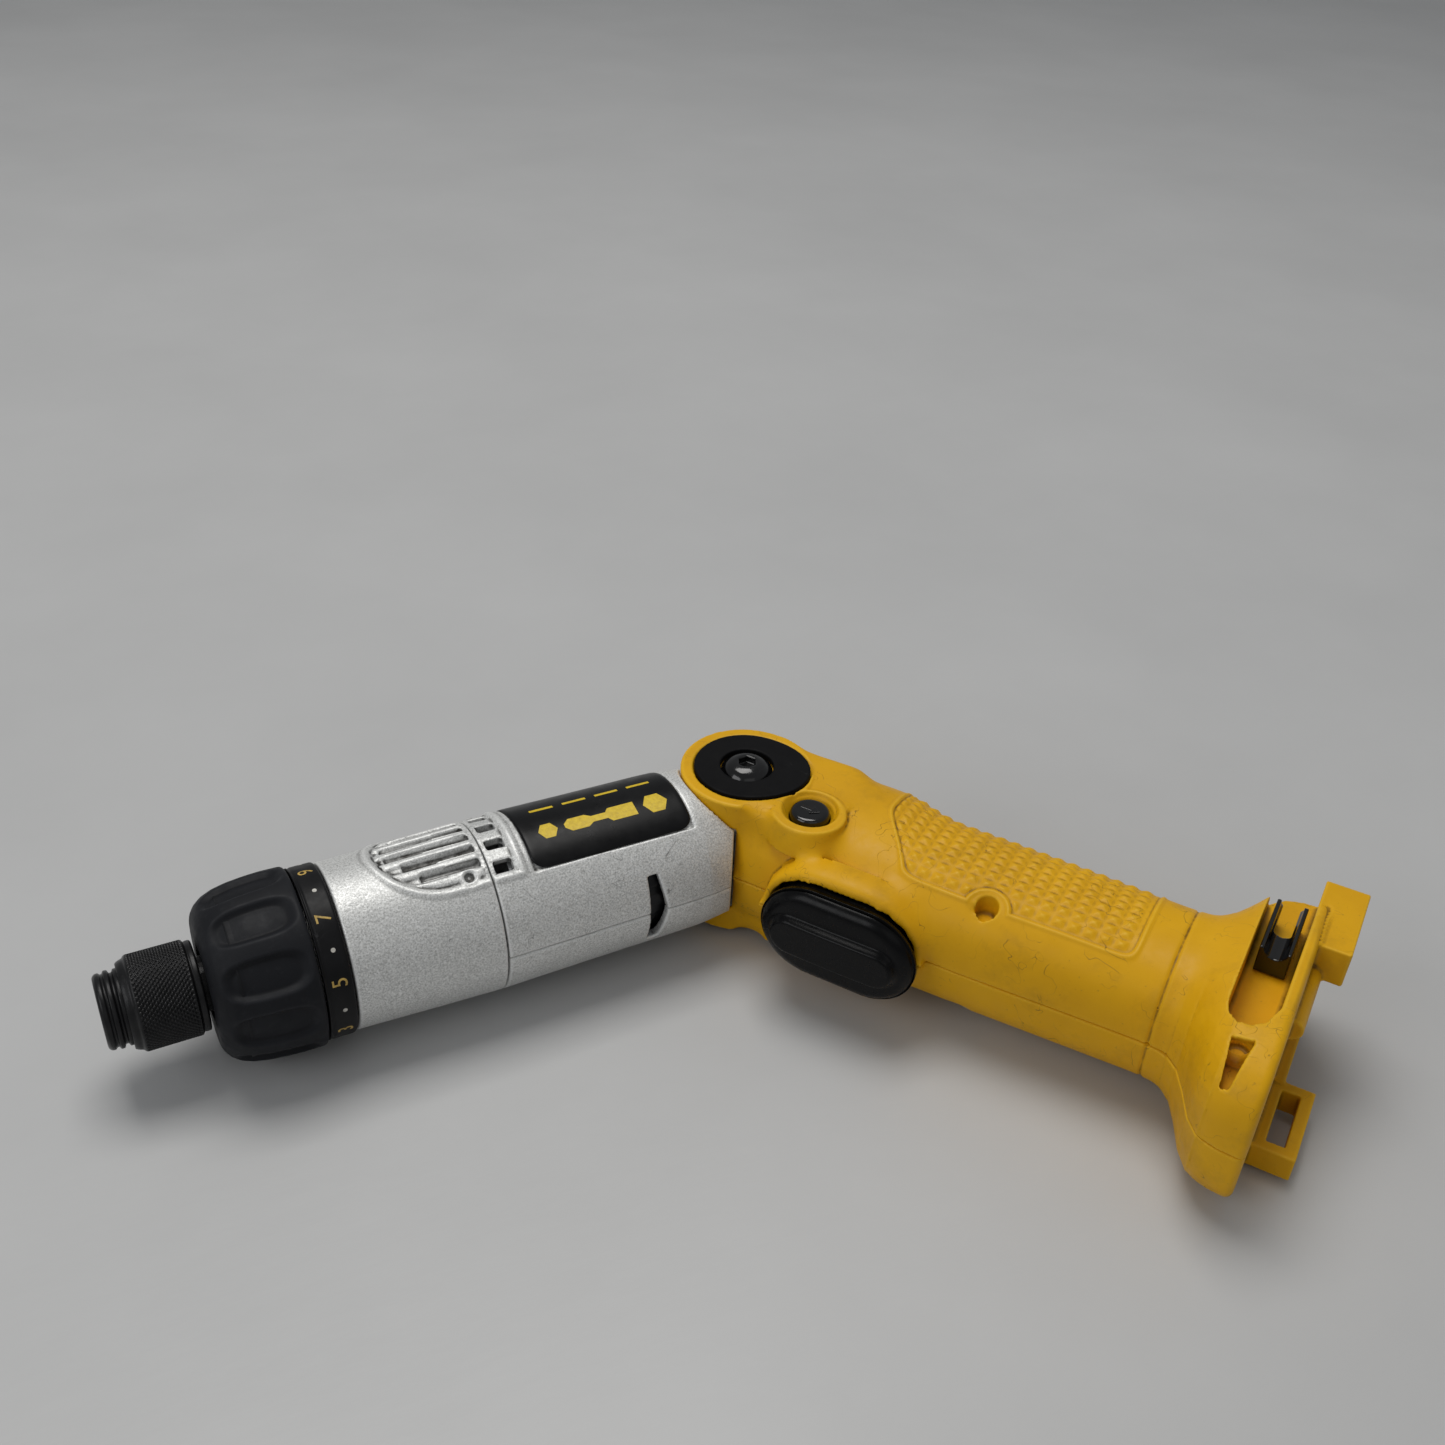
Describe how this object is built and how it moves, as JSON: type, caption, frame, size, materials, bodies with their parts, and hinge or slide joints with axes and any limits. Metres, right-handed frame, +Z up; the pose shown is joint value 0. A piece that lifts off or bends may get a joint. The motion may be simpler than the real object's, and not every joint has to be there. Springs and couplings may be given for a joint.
{
  "type": "pivoting cordless drill driver",
  "caption": "Compact cordless drill/driver, bare tool: silver barrel with torque collar and hex quick-release chuck, pivoting on a yellow pistol handle with rocker trigger.",
  "frame": {"origin": "middle of the base of the box round the tool as it lies on its side", "axes": "+Z up, along the handle pivot's axis; the chuck points along -X; the trigger side faces -Y; the handle runs down towards +X and -Y"},
  "size_m": [0.2848, 0.1702, 0.047],
  "materials": {
    "silver_paint": "satin metallic silver paint with fine sparkle",
    "yellow_plastic": "matte moulded glass-filled nylon",
    "collar_rubber": "charcoal overmould",
    "dial_plastic": "fine matte",
    "black_plastic": "fine matte",
    "black_gloss": "gloss",
    "label_film": "printed film",
    "black_steel": "black oxide, diamond knurl",
    "steel": "machined",
    "bronze": "sintered",
    "ferrite": "sintered",
    "grey_plastic": "moulded",
    "red_insulation": "PVC"
  },
  "bodies": {
    "handle": {"handle_shell_upper": "yellow_plastic", "handle_shell_lower": "yellow_plastic", "pivot_cap_upper": "black_plastic", "pivot_cap_lower": "black_plastic", "pivot_pin": "steel", "pivot_bolt_upper": "black_gloss", "pivot_bolt_lower": "black_gloss", "trigger_pin": "steel", "switch_module": "grey_plastic", "terminal_block": "grey_plastic", "terminal_positive": "bronze", "terminal_negative": "bronze", "bit_clip": "black_gloss", "handle_screw_a": "steel", "handle_screw_b": "steel", "handle_screw_c": "steel", "lead_positive": "red_insulation", "lead_negative": "black_plastic"},
    "barrel": {"motor_housing_upper": "silver_paint", "motor_housing_lower": "silver_paint", "name_plate": "label_film", "gear_case": "silver_paint", "motor_can": "steel", "motor_end_bell": "grey_plastic", "motor_magnet_a": "ferrite", "motor_magnet_b": "ferrite", "motor_brush_a": "ferrite", "motor_brush_b": "ferrite", "motor_plate": "steel", "ring_gear": "steel", "front_bearing": "bronze", "clutch_pin_a": "steel", "clutch_pin_b": "steel", "clutch_pin_c": "steel", "clutch_washer": "steel", "clutch_spring": "steel"},
    "trigger_rocker": {"trigger": "black_plastic"},
    "plunger_forward": {"switch_plunger_forward": "bronze"},
    "plunger_reverse": {"switch_plunger_reverse": "bronze"},
    "lock_bolt": {"lock_button": "black_gloss"},
    "rotor": {"motor_rotor": "steel"},
    "first_carrier": {"carrier_first": "steel"},
    "output_spindle": {"spindle": "steel", "chuck_nose_ring": "black_steel", "chuck_spring": "steel"},
    "ball": {"detent_ball": "steel"},
    "sleeve": {"chuck_sleeve": "black_steel"},
    "clutch_dial": {"clutch_scale_ring": "dial_plastic", "clutch_collar": "collar_rubber"},
    "spring_nut": {"clutch_nut": "grey_plastic"},
    "first_planet_a": {"planet_first_a": "steel"},
    "second_planet_a": {"planet_second_a": "steel"},
    "first_planet_b": {"planet_first_b": "steel"},
    "second_planet_b": {"planet_second_b": "steel"},
    "first_planet_c": {"planet_first_c": "steel"},
    "second_planet_c": {"planet_second_c": "steel"}
  },
  "joints": [
    {"name": "head_pivot", "type": "hinge", "parent": "handle", "child": "barrel", "pos_m": [0.02653, 0.06252, 0.0235], "axis": [0, 0, -1], "range_deg": [0, 55]},
    {"name": "trigger_rock", "type": "hinge", "parent": "handle", "child": "trigger_rocker", "pos_m": [0.03868, 0.02125, 0.0235], "axis": [0, 0, 1], "range_deg": [-4, 4], "stiffness_Nm_per_rad": 1.2},
    {"name": "plunger_forward_press", "type": "slide", "parent": "handle", "child": "plunger_forward", "axis": [0.829, 0.5592, 0], "range_m": [-0.0006, 0.0006]},
    {"name": "plunger_reverse_press", "type": "slide", "parent": "handle", "child": "plunger_reverse", "axis": [0.829, 0.5592, 0], "range_m": [-0.0008, 0.0008]},
    {"name": "lock_slide", "type": "slide", "parent": "handle", "child": "lock_bolt", "axis": [0, 0, -1], "range_m": [0, 0.0038]},
    {"name": "clutch_turn", "type": "hinge", "parent": "barrel", "child": "clutch_dial", "pos_m": [0.02653, 0.06252, 0.0235], "axis": [-1, 0, 0], "range_deg": [-254, 84]},
    {"name": "nut_travel", "type": "slide", "parent": "barrel", "child": "spring_nut", "axis": [-1, 0, 0], "range_m": [-0.002, 0.0007]},
    {"name": "motor_spin", "type": "hinge", "parent": "barrel", "child": "rotor", "pos_m": [0.02653, 0.06252, 0.0235], "axis": [-1, 0, 0], "continuous": true},
    {"name": "first_carrier_spin", "type": "hinge", "parent": "barrel", "child": "first_carrier", "pos_m": [0.02653, 0.06252, 0.0235], "axis": [-1, 0, 0], "continuous": true},
    {"name": "spindle_spin", "type": "hinge", "parent": "barrel", "child": "output_spindle", "pos_m": [0.02653, 0.06252, 0.0235], "axis": [-1, 0, 0], "continuous": true},
    {"name": "sleeve_pull", "type": "slide", "parent": "output_spindle", "child": "sleeve", "axis": [-1, 0, 0], "range_m": [0, 0.003], "stiffness_N_per_m": 500, "springref_m": -0.004, "deforming": ["chuck_spring"]},
    {"name": "ball_lift", "type": "slide", "parent": "output_spindle", "child": "ball", "axis": [0, -1, 0], "range_m": [0, 0.0004]},
    {"name": "first_planet_a_spin", "type": "hinge", "parent": "first_carrier", "child": "first_planet_a", "pos_m": [-0.05447, 0.0528, 0.0235], "axis": [-1, 0, 0], "continuous": true},
    {"name": "first_planet_b_spin", "type": "hinge", "parent": "first_carrier", "child": "first_planet_b", "pos_m": [-0.05447, 0.06738, 0.03192], "axis": [-1, 0, 0], "continuous": true},
    {"name": "first_planet_c_spin", "type": "hinge", "parent": "first_carrier", "child": "first_planet_c", "pos_m": [-0.05447, 0.06738, 0.01508], "axis": [-1, 0, 0], "continuous": true},
    {"name": "second_planet_a_spin", "type": "hinge", "parent": "output_spindle", "child": "second_planet_a", "pos_m": [-0.06347, 0.0528, 0.0235], "axis": [-1, 0, 0], "continuous": true},
    {"name": "second_planet_b_spin", "type": "hinge", "parent": "output_spindle", "child": "second_planet_b", "pos_m": [-0.06347, 0.06738, 0.03192], "axis": [-1, 0, 0], "continuous": true},
    {"name": "second_planet_c_spin", "type": "hinge", "parent": "output_spindle", "child": "second_planet_c", "pos_m": [-0.06347, 0.06738, 0.01508], "axis": [-1, 0, 0], "continuous": true}
  ],
  "couplings": [
    {"joint": "plunger_forward_press", "follows": "trigger_rock", "m_per_rad": -0.0075},
    {"joint": "plunger_reverse_press", "follows": "trigger_rock", "m_per_rad": 0.01},
    {"joint": "nut_travel", "follows": "clutch_turn", "m_per_rad": 0.000423},
    {"joint": "first_carrier_spin", "follows": "motor_spin", "ratio": 0.22222},
    {"joint": "spindle_spin", "follows": "motor_spin", "ratio": 0.049383},
    {"joint": "ball_lift", "follows": "sleeve_pull", "ratio": 0.13},
    {"joint": "first_planet_a_spin", "follows": "motor_spin", "ratio": -0.62222},
    {"joint": "second_planet_a_spin", "follows": "motor_spin", "ratio": -0.13827},
    {"joint": "first_planet_b_spin", "follows": "motor_spin", "ratio": -0.62222},
    {"joint": "second_planet_b_spin", "follows": "motor_spin", "ratio": -0.13827},
    {"joint": "first_planet_c_spin", "follows": "motor_spin", "ratio": -0.62222},
    {"joint": "second_planet_c_spin", "follows": "motor_spin", "ratio": -0.13827}
  ]
}
